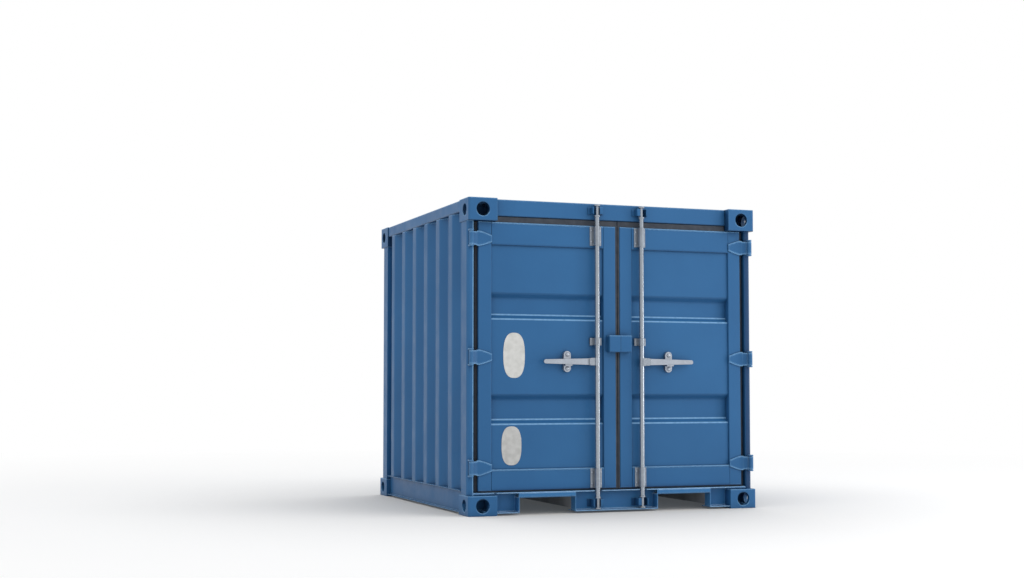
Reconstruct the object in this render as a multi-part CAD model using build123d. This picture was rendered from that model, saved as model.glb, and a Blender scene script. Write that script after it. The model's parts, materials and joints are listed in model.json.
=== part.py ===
"""Small steel shipping container: a frame on corner castings with corrugated walls and roof, a board
floor, fork pockets, and two end doors with their hinges, locking bars, cams, keepers and handles.

Millimetres. Origin at the bottom centre, X to the right, Y from the door end to the back, Z up.
"""
import os

from build123d import *

# Outer size over the corner castings
WIDTH = 1950
LENGTH = 1980
HEIGHT = 1918

# Corner castings
CAST_X = 184
CAST_Y = 178
CAST_TOP_Z = 138
CAST_BASE_Z = 121
CAST_WALL = 26
CAST_EDGE = 14
CAST_END_HOLE = 86
CAST_SIDE_HOLE = 74
CAST_SIDE_SETBACK = 80
APERTURE_LONG = 124
APERTURE_WIDE = 63
APERTURE_CORNER = 16

# How far the castings stand proud of the frame
PROUD_SIDE = 6
PROUD_END = 45
PROUD_BEAM = 50
PROUD_SILL = 6
PROUD_TOP = 1
PROUD_BASE = 12

# Frame sections
STEEL = 6
SHEET = 2
POST_FACE = 42
POST_REBATE = 62
POST_STOP = 95
POST_DEPTH = 110
POST_BEND = 20
POST_INNER_BEND = 8
BACK_POST_X = 60
BACK_POST_Y = 115
BEAM_DEPTH = 105
HEADER_TALL = 103
STOP_DROP = 31
RAIL_X = 60
RAIL_Z = 70
RAIL_WALL = 4
SILL_TALL = 125
SILL_WEB_SETBACK = 72
SILL_NOTCH = 26
SILL_NOTCH_DEEP = 42
SILL_END_DEEP = 55
BASE_RAIL_TALL = 135
BASE_RAIL_WALL = 5
BASE_FLANGE = 50
BASE_WEB_SETBACK = 22

# Fork pockets
POCKET_STUB = 145
POCKET_WIDE = 366
POCKET_TOP = 104
POCKET_PLATE = 5
POCKET_LOW = 30

# Floor
FLOOR_UNDER = 110
FLOOR_BOARD = 28
FLOOR_BOARD_COUNT = 4
FLOOR_GAP = 4
FLOOR_PLAY = 11
FLOOR_END_PLAY = 1
CROSS_COUNT = 5
CROSS_MARGIN = 300
CROSS_FLANGE = 45
CROSS_WALL = 5

# Corrugated walls: ridges as many as fit, with at least the margin left plain at each end
WALL_PITCH = 260
WALL_RIDGE = 73
WALL_SLOPE = 68
WALL_DEEP = 36
WALL_INSET = 2
WALL_MARGIN = 95
WALL_SHIFT = 45

# Corrugated roof
ROOF_PITCH = 209
ROOF_RIDGE = 90
ROOF_SLOPE = 15
ROOF_DEEP = 20
ROOF_MARGIN = 40

# Door leaves
DOOR_SETBACK = 49
DOOR_THICK = 50
DOOR_FOOT_PLAY = 10
DOOR_TOP_PLAY = 3
HINGE_GAP = 30
CENTRE_GAP = 28
MEET_SHIFT = 28
STILE_HINGE = 86
STILE_LOCK = 84
TOP_RAIL = 140
BOTTOM_RAIL = 128
TUBE_WALL = 4
PANEL_SETBACK = 13
PANEL_DEEP = 34
BAND_SLOPE = 28
LOW_BAND_UP = 400
LOW_BAND_TALL = 177
HIGH_BAND_DOWN = 434
HIGH_BAND_TALL = 156
GASKET_OUT = 20
GASKET_OVER = 34
GASKET_UNDER = 6
GASKET_MEET = 12
GASKET_SETBACK = 5
GASKET_SIDE_SETBACK = 18
GASKET_DEEP = 18
GASKET_PLAY = 6

# Hinges
PIN_IN = 18
PIN_FORWARD = 27
PIN_R = 8
PIN_PLAY = 0.3
KNUCKLE_R = 14
BLADE = 8
BLADE_ROOT = 92
BLADE_TIP = 42
BLADE_CURVE = 1.2
CRANK_FROM_PIN = 13
CRANK_FRONT = 11
CRANK_BACK = 20
CRANK_PAST_POST = 22
FLARE_RUN = 8
TAPER_START = 8
KNUCKLE_TALL = 82
LUG_TALL = 9
LUG_PLAY = 2
HINGE_FOOT = 139
HINGE_HEAD = 104
HINGE_MID_UP = 667

# Locking bars, cams and keepers
BAR_X = 152
BAR_SETBACK = 22
BAR_R = 15
BAR_PLAY = 0.5
CAM_R = 20
CAM_TALL = 76
CAM_END = 9
CAM_FLANGE = 9
CAM_CORE = 14
CAM_FINGER = 22
CAM_FINGER_WIDE = 10
KEEPER_IN = 28
KEEPER_PLATE = 6
KEEPER_FOOT = 18
KEEPER_LIP = 13
KEEPER_LIP_SETBACK = 5
KEEPER_END_PLAY = 6
STRAP = 3
BRACKET_FOOT = 4
MID_BRACKET_FOOT = 16
BRACKET_WIDE = 77
BRACKET_TALL = 120
BRACKET_INSET = 4
MID_BRACKET_TALL = 46
MID_BRACKET_UP = 125

# Handles
HANDLE_UP = 783
HANDLE_REACH = 358
HANDLE_THICK = 12
HANDLE_ROOT = 40
HANDLE_TIP = 26
HUB_X = 20
HUB_Y = 38
HUB_Z = 50
CHEEK = 6
CHEEK_PLAY = 2
CHEEK_TALL = 46
CHEEK_END = 15
CHEEK_CHAMFER = 9
PIVOT_OFF = 44
PIVOT_R = 6
PIVOT_PLAY = 0.3
HOLDER_OFF = 195
HOLDER_WIDE = 47
HOLDER_TALL = 130
HOLDER_STAND = 24
SHELF = 8
SHELF_PLAY = 1
SHELF_LIP = 4

# Lock box
BOX_HALF = 76
BOX_SLIT = 1
BOX_UP = 60
BOX_TALL = 105
BOX_EDGE = 6
BOX_DEEP = 46
BOX_WALL = 5
STAPLE = 8
STAPLE_PLAY = 4
STAPLE_TALL = 30
STAPLE_SETBACK = 14
STAPLE_EYE = 12
STAPLE_HOLE = 16

# Cutters run on past the faces that they cut
CUT = 1

# Planes of the frame
FRONT = -LENGTH / 2
BACK = LENGTH / 2
SIDE = WIDTH / 2 - PROUD_SIDE
BEAM_HALF = WIDTH / 2 - CAST_X
RAIL_END = LENGTH / 2 - CAST_Y
FRAME_TOP = HEIGHT - PROUD_TOP
RAIL_LOW = FRAME_TOP - RAIL_Z
POST_FRONT = FRONT + PROUD_END
POST_LOW = CAST_BASE_Z
POST_HIGH = HEIGHT - CAST_TOP_Z
BEAM_FRONT = FRONT + PROUD_BEAM
SILL_FRONT = FRONT + PROUD_SILL
SILL_WEB = FRONT + SILL_WEB_SETBACK
HEADER_LOW = FRAME_TOP - HEADER_TALL
STOP_LOW = POST_HIGH - STOP_DROP
SILL_TOP = PROUD_BASE + SILL_TALL
BASE_TOP = PROUD_BASE + BASE_RAIL_TALL
POCKET_OUT = BEAM_HALF - POCKET_STUB
POCKET_IN = POCKET_OUT - POCKET_WIDE

# Planes of the doors and their gear
DOOR_FRONT = FRONT + DOOR_SETBACK
DOOR_BACK = DOOR_FRONT + DOOR_THICK
DOOR_LOW = SILL_TOP + DOOR_FOOT_PLAY
DOOR_HIGH = POST_HIGH - DOOR_TOP_PLAY
DOOR_EDGE = SIDE - POST_FACE - HINGE_GAP
DOOR_MEET = CENTRE_GAP / 2
PANEL_FRONT = DOOR_FRONT + PANEL_SETBACK
PANEL_OUT = DOOR_EDGE - STILE_HINGE
PANEL_IN = DOOR_MEET + STILE_LOCK
PIN_X = SIDE - PIN_IN
PIN_Y = POST_FRONT - PIN_FORWARD
HINGE_LEVELS = (
    DOOR_LOW + HINGE_FOOT,
    DOOR_LOW + HINGE_FOOT + HINGE_MID_UP,
    DOOR_HIGH - HINGE_HEAD,
)
BAR_Y = FRONT + BAR_SETBACK
CAM_LOW = PROUD_BASE + CAM_END
CAM_HIGH = FRAME_TOP - CAM_END - CAM_TALL
HANDLE_Z = DOOR_LOW + HANDLE_UP
HANDLE_FRONT = BAR_Y - HANDLE_THICK / 2
HANDLE_BACK = BAR_Y + HANDLE_THICK / 2


def block(x0, x1, y0, y1, z0, z1):
    """A box between two corners."""
    centre = Pos((x0 + x1) / 2, (y0 + y1) / 2, (z0 + z1) / 2)
    return centre * Box(abs(x1 - x0), abs(y1 - y0), abs(z1 - z0))


def prism(points, axis, low, high):
    """A polygon pushed along an axis: (x, y) along z, (y, z) along x, (x, z) along y."""
    face = make_face(Polyline(*points, close=True))
    if axis == "z":
        return extrude(Plane.XY.offset(low) * face, high - low)
    if axis == "x":
        return extrude(Plane.YZ.offset(low) * face, high - low)
    return extrude(Plane.XZ.offset(-high) * face, high - low)


def rod(x, y, z0, z1, radius):
    """An upright cylinder."""
    return Pos(x, y, (z0 + z1) / 2) * Cylinder(radius, z1 - z0)


def rod_y(x, z, y0, y1, radius):
    """A cylinder from front to back."""
    return Pos(x, (y0 + y1) / 2, z) * Rot(90, 0, 0) * Cylinder(radius, y1 - y0)


def rod_x(y, z, x0, x1, radius):
    """A cylinder from left to right."""
    return Pos((x0 + x1) / 2, y, z) * Rot(0, 90, 0) * Cylinder(radius, x1 - x0)


def upright(solid, x, y):
    """The upright edges of a solid at a corner in plan."""
    edges = solid.edges().filter_by(Axis.Z)
    return edges.filter_by(lambda e: abs(e.center().X - x) < 1 and abs(e.center().Y - y) < 1)


def flip(shape):
    """The same piece on the other side."""
    return mirror(shape, about=Plane.YZ)


def turned(shape):
    """The same piece at the other end."""
    return mirror(shape, about=Plane.XZ)


# Corner castings: a hollow block with a round hole in each outer face and an oblong one above or below
def casting(tall, top):
    x0, x1 = -WIDTH / 2, -WIDTH / 2 + CAST_X
    y0, y1 = FRONT, FRONT + CAST_Y
    xc, yc, zc = (x0 + x1) / 2, (y0 + y1) / 2, tall / 2
    w = CAST_WALL
    body = block(x0, x1, y0, y1, 0, tall)
    body = fillet(upright(body, x0, y0), CAST_EDGE)
    body -= block(x0 + w, x1 - w, y0 + w, y1 - w, w, tall - w)
    body -= rod_y(xc, zc, y0 - CUT, y0 + w + CUT, CAST_END_HOLE / 2)
    body -= rod_x(y0 + CAST_SIDE_SETBACK, zc, x0 - CUT, x0 + w + CUT, CAST_SIDE_HOLE / 2)
    aperture = block(xc - APERTURE_WIDE / 2, xc + APERTURE_WIDE / 2,
                     yc - APERTURE_LONG / 2, yc + APERTURE_LONG / 2, -CUT, w + CUT)
    body -= chamfer(aperture.edges().filter_by(Axis.Z), APERTURE_CORNER)
    if top:
        body = Pos(0, 0, HEIGHT - tall) * mirror(body, about=Plane.XY.offset(zc))
    return [body, flip(body), turned(body), turned(flip(body))]


# Door posts: a hollow pressed section with a rebate that the door edge stands in
def door_post():
    x0, y0 = -SIDE, POST_FRONT

    def outline(t):
        return [
            (x0 + t, y0 + t), (x0 + POST_FACE - t, y0 + t), (x0 + POST_FACE - t, y0 + POST_REBATE + t),
            (x0 + POST_STOP - t, y0 + POST_REBATE + t), (x0 + POST_STOP - t, y0 + POST_DEPTH - t),
            (x0 + t, y0 + POST_DEPTH - t)]

    outer = prism(outline(0), "z", POST_LOW, POST_HIGH)
    outer = fillet(upright(outer, x0, y0), POST_BEND)
    outer = fillet(upright(outer, x0 + POST_FACE, y0), POST_INNER_BEND)
    return outer - prism(outline(STEEL), "z", POST_LOW - CUT, POST_HIGH + CUT)


def back_post():
    x0, x1 = -SIDE, -SIDE + BACK_POST_X
    y1 = BACK - PROUD_END
    y0 = y1 - BACK_POST_Y
    outer = block(x0, x1, y0, y1, POST_LOW, POST_HIGH)
    outer = fillet(upright(outer, x0, y1), POST_BEND)
    return outer - block(x0 + STEEL, x1 - STEEL, y0 + STEEL, y1 - STEEL, POST_LOW - CUT, POST_HIGH + CUT)


# Door header: a hollow section with the same rebate, and stop plates under the castings
def door_header():
    y0, y1 = BEAM_FRONT, BEAM_FRONT + BEAM_DEPTH
    ys = POST_FRONT + POST_REBATE

    def outline(t):
        return [
            (y0 + t, HEADER_LOW + t), (y0 + t, FRAME_TOP - t), (y1 - t, FRAME_TOP - t),
            (y1 - t, STOP_LOW + t), (ys + t, STOP_LOW + t), (ys + t, HEADER_LOW + t)]

    beam = prism(outline(0), "x", -BEAM_HALF, BEAM_HALF)
    beam -= prism(outline(STEEL), "x", -BEAM_HALF - CUT, BEAM_HALF + CUT)
    stop = block(POST_STOP - SIDE, -BEAM_HALF, ys, ys + STEEL, STOP_LOW, POST_HIGH)
    return beam + stop + flip(stop)


# Sills: a pressed channel cut away for the two fork pockets
def sill(top, front, web):
    y1 = FRONT + CAST_Y
    channel = block(-BEAM_HALF, BEAM_HALF, web, web + STEEL, PROUD_BASE, top)
    channel += block(-BEAM_HALF, BEAM_HALF, front, y1, top - STEEL, top)
    channel += block(-BEAM_HALF, BEAM_HALF, front, web + BASE_FLANGE, PROUD_BASE, PROUD_BASE + STEEL)
    pocket = block(-POCKET_OUT, -POCKET_IN, front - CUT, y1 + CUT, PROUD_BASE - CUT, POCKET_TOP)
    return channel - pocket - flip(pocket)


def door_sill():
    """The channel open to the front, with a head round each pocket and a notch for each bar."""
    y0, y1 = SILL_FRONT, SILL_WEB
    x0, x1 = -POCKET_OUT - POCKET_PLATE, -POCKET_IN + POCKET_PLATE
    head = block(x0, x1, y0, y1, PROUD_BASE, SILL_TOP)
    head -= block(x0 - CUT, x1 + CUT, y0 + STEEL, y1 + CUT, POCKET_TOP + POCKET_PLATE, SILL_TOP + CUT)
    head -= block(-POCKET_OUT, -POCKET_IN, y0 - CUT, y1 + CUT, PROUD_BASE - CUT, POCKET_TOP)
    channel = sill(SILL_TOP, y0, y1) + head + flip(head)
    for bar in (-BAR_X + MEET_SHIFT, BAR_X + MEET_SHIFT):
        channel -= block(bar - SILL_NOTCH, bar + SILL_NOTCH, y0 - CUT, y0 + SILL_NOTCH_DEEP,
                         SILL_TOP - STEEL - CUT, SILL_TOP + CUT)
    return channel


def sill_end_caps():
    """A bar over each casting, from the end of the sill to the post."""
    cap = block(POST_FACE - SIDE, -BEAM_HALF, BEAM_FRONT, BEAM_FRONT + SILL_END_DEEP, POST_LOW, SILL_TOP)
    return [cap, flip(cap)]


# Rails
def top_rail():
    x0, x1, t = -SIDE, -SIDE + RAIL_X, RAIL_WALL
    outer = block(x0, x1, -RAIL_END, RAIL_END, RAIL_LOW, FRAME_TOP)
    return outer - block(x0 + t, x1 - t, -RAIL_END - CUT, RAIL_END + CUT, RAIL_LOW + t, FRAME_TOP - t)


def bottom_rail():
    x0, x1, t = -SIDE, -SIDE + BASE_FLANGE, BASE_RAIL_WALL
    web = x0 + BASE_WEB_SETBACK
    y0, y1, z0, z1 = -RAIL_END - CUT, RAIL_END + CUT, PROUD_BASE + t, BASE_TOP - t
    outer = block(x0, x1, -RAIL_END, RAIL_END, PROUD_BASE, BASE_TOP)
    return outer - block(x0 - CUT, web, y0, y1, z0, z1) - block(web + t, x1 + CUT, y0, y1, z0, z1)


def back_top_rail():
    y1, t = BACK - PROUD_BEAM, RAIL_WALL
    y0 = y1 - RAIL_X
    outer = block(-BEAM_HALF, BEAM_HALF, y0, y1, RAIL_LOW, FRAME_TOP)
    return outer - block(-BEAM_HALF - CUT, BEAM_HALF + CUT, y0 + t, y1 - t, RAIL_LOW + t, FRAME_TOP - t)


# Folded sheets
def ribbed(start, end, pitch, ridge, slope, deep, margin, shift=0):
    """Points of a folded line: ridges at depth 0 between valleys at the given depth."""
    room = end - start - 2 * margin - ridge
    gaps = int(room // pitch)
    first = (start + end - ridge - gaps * pitch) / 2 + shift
    points = [(start, deep)]
    for i in range(gaps + 1):
        a = first + i * pitch
        points += [(a - slope, deep), (a, 0), (a + ridge, 0), (a + ridge + slope, deep)]
    return points + [(end, deep)]


def sheet(line, place):
    """A folded line given the thickness of the sheet."""
    near = [place(along, depth) for along, depth in line]
    far = [place(along, depth + SHEET) for along, depth in reversed(line)]
    return near + far


def clear_of_castings(panel):
    """A panel notched at its upper corners round the castings."""
    corner = block(-WIDTH / 2, -WIDTH / 2 + CAST_X, FRONT, FRONT + CAST_Y, POST_HIGH, HEIGHT)
    for piece in (corner, flip(corner), turned(corner), turned(flip(corner))):
        panel = panel - piece
    return panel


def side_wall():
    start, end = POST_FRONT + POST_DEPTH, BACK - PROUD_END - BACK_POST_Y
    margin = WALL_MARGIN + WALL_SHIFT
    line = ribbed(start, end, WALL_PITCH, WALL_RIDGE, WALL_SLOPE, WALL_DEEP, margin, WALL_SHIFT)
    outline = sheet(line, lambda along, depth: (-SIDE + WALL_INSET + depth, along))
    return clear_of_castings(prism(outline, "z", BASE_TOP, RAIL_LOW))


def back_wall():
    half = SIDE - BACK_POST_X
    line = ribbed(-half, half, WALL_PITCH, WALL_RIDGE, WALL_SLOPE, WALL_DEEP, WALL_MARGIN)
    outline = sheet(line, lambda along, depth: (along, BACK - PROUD_BEAM - WALL_INSET - depth))
    return clear_of_castings(prism(outline, "z", BASE_TOP, RAIL_LOW))


def roof():
    start, end = BEAM_FRONT + BEAM_DEPTH, BACK - PROUD_BEAM - RAIL_X
    line = ribbed(start, end, ROOF_PITCH, ROOF_RIDGE, ROOF_SLOPE, ROOF_DEEP, ROOF_MARGIN)
    outline = sheet(line, lambda along, depth: (along, FRAME_TOP - depth))
    half = SIDE - RAIL_X
    return clear_of_castings(prism(outline, "x", -half, half))


# Floor: boards on short cross members between the side rails and the fork pockets
def floor_boards():
    half = SIDE - BASE_FLANGE - FLOOR_PLAY
    wide = (2 * half - (FLOOR_BOARD_COUNT - 1) * FLOOR_GAP) / FLOOR_BOARD_COUNT
    y1 = RAIL_END - FLOOR_END_PLAY
    boards = []
    for i in range(FLOOR_BOARD_COUNT):
        x0 = -half + i * (wide + FLOOR_GAP)
        boards.append(block(x0, x0 + wide, -y1, y1, FLOOR_UNDER, FLOOR_UNDER + FLOOR_BOARD))
    return boards


def crossmembers():
    outer = (-SIDE + BASE_WEB_SETBACK + BASE_RAIL_WALL, -POCKET_OUT - POCKET_PLATE)
    inner = (-POCKET_IN + POCKET_PLATE, POCKET_IN - POCKET_PLATE)
    other = (-outer[1], -outer[0])
    step = (LENGTH - 2 * CROSS_MARGIN - CROSS_FLANGE) / (CROSS_COUNT - 1)
    t = CROSS_WALL
    members = []
    for i in range(CROSS_COUNT):
        y0 = FRONT + CROSS_MARGIN + i * step
        y1 = y0 + CROSS_FLANGE
        for x0, x1 in (outer, inner, other):
            bar = block(x0, x1, y0, y1, POCKET_LOW, FLOOR_UNDER)
            bar -= block(x0 - CUT, x1 + CUT, y0 + t, y1 + CUT, POCKET_LOW + t, FLOOR_UNDER - t)
            members.append(bar)
    return members


def fork_pocket():
    y0, y1 = SILL_WEB + STEEL, BACK - PROUD_BEAM - STEEL
    outer = block(-POCKET_OUT - POCKET_PLATE, -POCKET_IN + POCKET_PLATE, y0, y1, POCKET_LOW, FLOOR_UNDER)
    return outer - block(-POCKET_OUT, -POCKET_IN, y0 - CUT, y1 + CUT, POCKET_LOW - CUT, POCKET_TOP)


# Door leaf: a frame of tubes round a sheet with two recessed bands. The shift moves its meeting edge.
def door_stile(x0, x1):
    y0, y1, t = DOOR_FRONT, DOOR_BACK, TUBE_WALL
    outer = block(x0, x1, y0, y1, DOOR_LOW, DOOR_HIGH)
    return outer - block(x0 + t, x1 - t, y0 + t, y1 - t, DOOR_LOW + t, DOOR_HIGH - t)


def door_stiles(shift):
    return [door_stile(-DOOR_EDGE, -PANEL_OUT), door_stile(-PANEL_IN + shift, -DOOR_MEET + shift)]


def door_rail(z0, z1, shift):
    x0, x1 = -PANEL_OUT, -PANEL_IN + shift
    y0, y1, t = DOOR_FRONT, DOOR_BACK, TUBE_WALL
    outer = block(x0, x1, y0, y1, z0, z1)
    return outer - block(x0 - CUT, x1 + CUT, y0 + t, y1 - t, z0 + t, z1 - t)


def door_rails(shift):
    return [
        door_rail(DOOR_HIGH - TOP_RAIL, DOOR_HIGH, shift),
        door_rail(DOOR_LOW, DOOR_LOW + BOTTOM_RAIL, shift)]


def door_panel(shift):
    line = [(DOOR_LOW + BOTTOM_RAIL, 0)]
    low_band = DOOR_LOW + LOW_BAND_UP
    high_band = DOOR_HIGH - HIGH_BAND_DOWN
    for low, high in ((low_band, low_band + LOW_BAND_TALL), (high_band - HIGH_BAND_TALL, high_band)):
        line += [(low, 0), (low + BAND_SLOPE, PANEL_DEEP), (high - BAND_SLOPE, PANEL_DEEP), (high, 0)]
    line.append((DOOR_HIGH - TOP_RAIL, 0))
    outline = sheet(line, lambda along, depth: (PANEL_FRONT + depth, along))
    return [prism(outline, "x", -PANEL_OUT, -PANEL_IN + shift)]


def door_gasket(shift):
    """A rubber lip round the leaf, cut low under the casting and set deeper beside the post."""
    meet = -DOOR_MEET + shift
    y0 = DOOR_FRONT + GASKET_SETBACK
    y1 = y0 + GASKET_DEEP
    over = DOOR_HIGH + GASKET_OVER
    foot = DOOR_LOW - GASKET_UNDER
    lip = block(-DOOR_EDGE, meet + GASKET_MEET, y0, y1, foot, over)
    lip -= block(-DOOR_EDGE - CUT, meet, y0 - CUT, y1 + CUT, DOOR_LOW, DOOR_HIGH)
    lip -= block(-WIDTH / 2, -BEAM_HALF + GASKET_PLAY, y0 - CUT, y1 + CUT, DOOR_HIGH, over + CUT)
    y2 = DOOR_FRONT + GASKET_SIDE_SETBACK
    lip += block(-DOOR_EDGE - GASKET_OUT, -DOOR_EDGE, y2, y2 + GASKET_DEEP, foot, DOOR_HIGH)
    return [lip]


# Hinges: a pair of lugs on the post with the pin welded in them, and a cranked blade on the door
def hinge_lugs():
    hinges = []
    reach = KNUCKLE_TALL / 2 + LUG_PLAY
    for level in HINGE_LEVELS:
        low, high = level - reach - LUG_TALL, level + reach + LUG_TALL
        hinge = rod(-PIN_X, PIN_Y, low, high, PIN_R)
        for z0 in (low, high - LUG_TALL):
            hinge += rod(-PIN_X, PIN_Y, z0, z0 + LUG_TALL, KNUCKLE_R)
            hinge += block(-PIN_X - KNUCKLE_R, -PIN_X + KNUCKLE_R, PIN_Y, POST_FRONT, z0, z0 + LUG_TALL)
        hinges.append(hinge)
    return hinges


def hinge_blades():
    x0 = -SIDE
    crank_x = -PIN_X + CRANK_FROM_PIN
    face_x = x0 + POST_FACE + CRANK_PAST_POST
    taper_x = -DOOR_EDGE + TAPER_START
    tip = -PANEL_OUT
    y1 = DOOR_FRONT
    plan = [
        (-PIN_X, PIN_Y), (crank_x, PIN_Y + CRANK_FRONT), (face_x, y1 - BLADE), (tip, y1 - BLADE),
        (tip, y1), (face_x, y1), (crank_x, PIN_Y + CRANK_BACK), (-PIN_X, PIN_Y + KNUCKLE_R / 2)]
    k, r, t = KNUCKLE_TALL / 2, BLADE_ROOT / 2, BLADE_TIP / 2
    upper = [(x0, k), (face_x - FLARE_RUN, k), (face_x, r)]
    for share in (0, 1 / 3, 2 / 3, 1):
        upper.append((taper_x + (tip - taper_x) * share, r - (r - t) * share ** BLADE_CURVE))
    blades = []
    for level in HINGE_LEVELS:
        side = [(x, level + z) for x, z in upper] + [(x, level - z) for x, z in reversed(upper)]
        blade = prism(plan, "z", level - r, level + r) & prism(side, "y", FRONT, DOOR_BACK)
        blade += rod(-PIN_X, PIN_Y, level - k, level + k, KNUCKLE_R)
        blades.append(blade - rod(-PIN_X, PIN_Y, level - r, level + r, PIN_R + PIN_PLAY))
    return blades


# Locking bar: the bar, a spool with a finger at each end, and the fork that carries the handle
def cam(x, low):
    high = low + CAM_TALL
    half, core = CAM_FINGER_WIDE / 2, CAM_CORE / 2
    play = CAM_FLANGE + KEEPER_END_PLAY
    body = rod(x, BAR_Y, low, low + CAM_FLANGE, CAM_R) + rod(x, BAR_Y, high - CAM_FLANGE, high, CAM_R)
    body += block(x - core, x + core, BAR_Y - core, BAR_Y + core, low, high)
    return body + block(x, x + CAM_FINGER, BAR_Y - half, BAR_Y + half, low + play, high - play)


def lock_bar(shift):
    x = -BAR_X + shift
    bar = rod(x, BAR_Y, CAM_LOW + CAM_TALL, CAM_HIGH, BAR_R) + cam(x, CAM_LOW) + cam(x, CAM_HIGH)
    bar += Pos(x - HUB_X / 2, BAR_Y, HANDLE_Z) * Box(HUB_X, HUB_Y, HUB_Z)
    near = HANDLE_THICK / 2 + CHEEK_PLAY
    far = near + CHEEK
    h, c = CHEEK_TALL / 2, CHEEK_CHAMFER
    end = x - PIVOT_OFF - CHEEK_END
    side = [
        (x, HANDLE_Z - h), (x, HANDLE_Z + h), (end + c, HANDLE_Z + h), (end, HANDLE_Z + h - c),
        (end, HANDLE_Z - h + c), (end + c, HANDLE_Z - h)]
    bar += prism(side, "y", BAR_Y - far, BAR_Y - near) + prism(side, "y", BAR_Y + near, BAR_Y + far)
    bar += rod_y(x - PIVOT_OFF, HANDLE_Z, BAR_Y - far, BAR_Y + far, PIVOT_R)
    return [bar]


def handle(shift):
    x = -BAR_X + shift
    root = x - PIVOT_OFF
    a, b = HANDLE_ROOT / 2, HANDLE_TIP / 2
    tip = x - HANDLE_REACH + b
    side = [(root, HANDLE_Z - a), (root, HANDLE_Z + a), (tip, HANDLE_Z + b), (tip, HANDLE_Z - b)]
    grip = prism(side, "y", HANDLE_FRONT, HANDLE_BACK)
    grip += rod_y(root, HANDLE_Z, HANDLE_FRONT, HANDLE_BACK, a)
    grip += rod_y(tip, HANDLE_Z, HANDLE_FRONT, HANDLE_BACK, b)
    grip -= rod_y(root, HANDLE_Z, HANDLE_FRONT - CUT, HANDLE_BACK + CUT, PIVOT_R + PIVOT_PLAY)
    return [grip]


# Brackets that hold the bar to the door: a strap over the bar on two feet
def bar_bracket(x, low, high, foot, thick):
    inner = BAR_R + BAR_PLAY
    outer = inner + STRAP
    half = BRACKET_WIDE / 2
    strap = rod(x, BAR_Y, low, high, outer)
    strap += block(x - outer, x + outer, BAR_Y, foot, low, high)
    strap += block(x - half, x + half, foot - thick, foot, low, high)
    strap -= rod(x, BAR_Y, low - CUT, high + CUT, inner)
    return strap - block(x - inner, x + inner, BAR_Y, foot + CUT, low - CUT, high + CUT)


def bar_brackets(shift):
    x = -BAR_X + shift
    top = DOOR_HIGH - BRACKET_INSET
    bottom = DOOR_LOW + BRACKET_INSET
    middle = HANDLE_Z + MID_BRACKET_UP
    half = MID_BRACKET_TALL / 2
    return [
        bar_bracket(x, top - BRACKET_TALL, top, DOOR_FRONT, BRACKET_FOOT),
        bar_bracket(x, bottom, bottom + BRACKET_TALL, DOOR_FRONT, BRACKET_FOOT),
        bar_bracket(x, middle - half, middle + half, PANEL_FRONT, MID_BRACKET_FOOT)]


def handle_holder(shift):
    """A round-ended stand behind the handle, with a shelf that the handle rests on."""
    x, half = -BAR_X + shift - HOLDER_OFF, HOLDER_WIDE / 2
    y0, y1 = PANEL_FRONT - HOLDER_STAND, PANEL_FRONT
    straight = HOLDER_TALL / 2 - half
    stand = block(x - half, x + half, y0, y1, HANDLE_Z - straight, HANDLE_Z + straight)
    stand += rod_y(x, HANDLE_Z - straight, y0, y1, half) + rod_y(x, HANDLE_Z + straight, y0, y1, half)
    grip_run = HANDLE_REACH - HANDLE_TIP / 2 - PIVOT_OFF
    share = (HOLDER_OFF - half - PIVOT_OFF) / grip_run
    grip_half = (HANDLE_ROOT + (HANDLE_TIP - HANDLE_ROOT) * share) / 2
    under = HANDLE_Z - grip_half - SHELF_PLAY
    return [stand + block(x - half, x + half, HANDLE_FRONT - SHELF_LIP, y1, under - SHELF, under)]


# Keepers on the header and sill: an ear each side of the cam, the inner one with a lip before its finger
def keepers(shift, low, wall):
    x = -BAR_X + shift
    z0 = low + CAM_FLANGE + KEEPER_END_PLAY
    z1 = low + CAM_TALL - CAM_FLANGE - KEEPER_END_PLAY
    lip_front = FRONT + KEEPER_LIP_SETBACK
    pieces = []
    for side in (-1, 1):
        near = x + side * KEEPER_IN
        far = near + side * KEEPER_PLATE
        foot = far + side * KEEPER_FOOT
        ear = block(near, far, lip_front, wall, z0, z1)
        ear += block(near, foot, wall - KEEPER_PLATE, wall, z0, z1)
        if side > 0:
            ear += block(x + KEEPER_LIP, far, lip_front, lip_front + KEEPER_PLATE, z0, z1)
        pieces.append(ear)
    return pieces


def cam_keepers(shift):
    return keepers(shift, CAM_LOW, SILL_WEB) + keepers(shift, CAM_HIGH, BEAM_FRONT)


# Lock box: a hood over the padlock staples, split at the gap between the doors
def lock_box(shift):
    y0, y1 = DOOR_FRONT - BOX_DEEP, DOOR_FRONT
    low = HANDLE_Z + BOX_UP
    high = low + BOX_TALL
    out, split = shift - BOX_HALF, shift - BOX_SLIT
    hood = block(out, split, y0, y1, low, high)
    corner = Vector(out, y0, high)
    hood = fillet(hood.edges().filter_by(lambda e: e.distance_to(corner) < 1), BOX_EDGE)
    hood -= block(out + BOX_WALL, split + CUT, y0 + BOX_WALL, y1 + CUT, low - CUT, high - BOX_WALL)
    middle = (low + high) / 2
    x1 = shift - DOOR_MEET - STAPLE_PLAY
    x0 = x1 - STAPLE
    staple = block(x0, x1, y0 + STAPLE_SETBACK, y1, middle - STAPLE_TALL / 2, middle + STAPLE_TALL / 2)
    eye = rod_x(y0 + STAPLE_SETBACK + STAPLE_EYE, middle, x0 - CUT, x1 + CUT, STAPLE_HOLE / 2)
    return [hood, staple - eye]


def save(name, solids):
    """One file for each node."""
    whole = solids[0] if len(solids) == 1 else Compound(children=solids)
    export_step(whole, f"parts/{name}.step")


def save_both(name, solids):
    """The left piece and its mirror image."""
    save("left_" + name, solids)
    save("right_" + name, [flip(solid) for solid in solids])


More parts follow.
